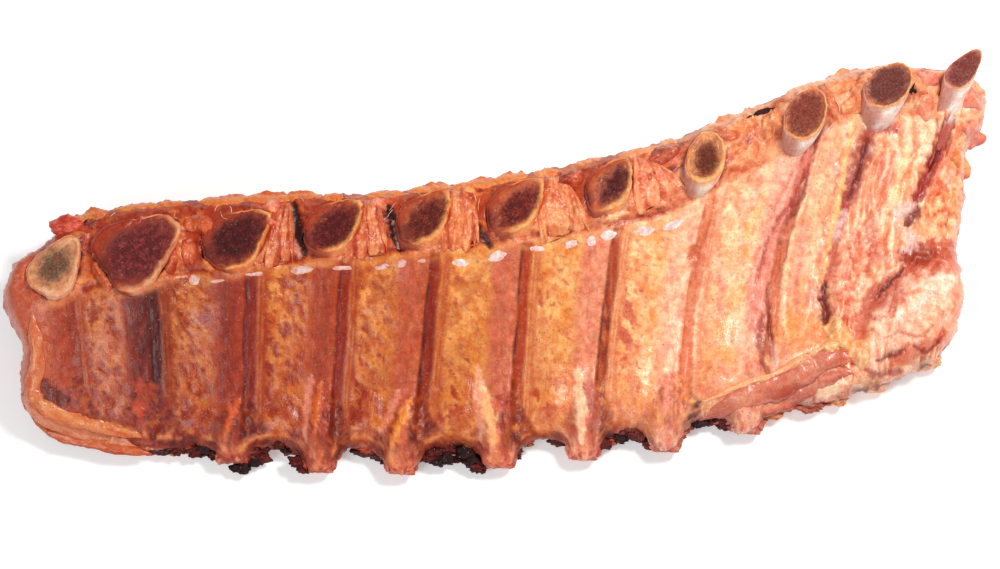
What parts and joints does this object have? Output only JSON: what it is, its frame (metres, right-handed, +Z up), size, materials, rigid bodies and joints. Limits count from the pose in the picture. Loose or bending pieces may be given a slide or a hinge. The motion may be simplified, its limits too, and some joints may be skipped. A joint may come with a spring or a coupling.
{
  "type": "rack of ribs",
  "caption": "Smoked rack of back ribs lying hollow side up, bones running through one curved slab of meat.",
  "frame": {"origin": "centre of the bounding box in plan, on the surface that the rack rests on", "axes": "+X along the rack, from its low end to the end with the long curved ribs; +Y across the ribs, towards their sawn heads; +Z up, out of the hollow inner side"},
  "size_m": [0.4238, 0.1774, 0.05],
  "materials": {
    "smoked_meat": "moist smoked meat under a thin membrane, semi-gloss",
    "rib_bone": "sawn bone, matt and porous on the sawn face",
    "rendered_fat": "smooth rendered fat, semi-gloss",
    "sinew": "pale wet sinew and membrane, glossy",
    "char": "dry black flakes of smoke crust"
  },
  "bodies": {
    "root": {"meat": "smoked_meat", "rib_01": "rib_bone", "rib_02": "rib_bone", "rib_03": "rib_bone", "rib_04": "rib_bone", "rib_05": "rib_bone", "rib_06": "rib_bone", "rib_07": "rib_bone", "rib_08": "rib_bone", "rib_09": "rib_bone", "rib_10": "rib_bone", "rib_11": "rib_bone"}
  },
  "joints": []
}
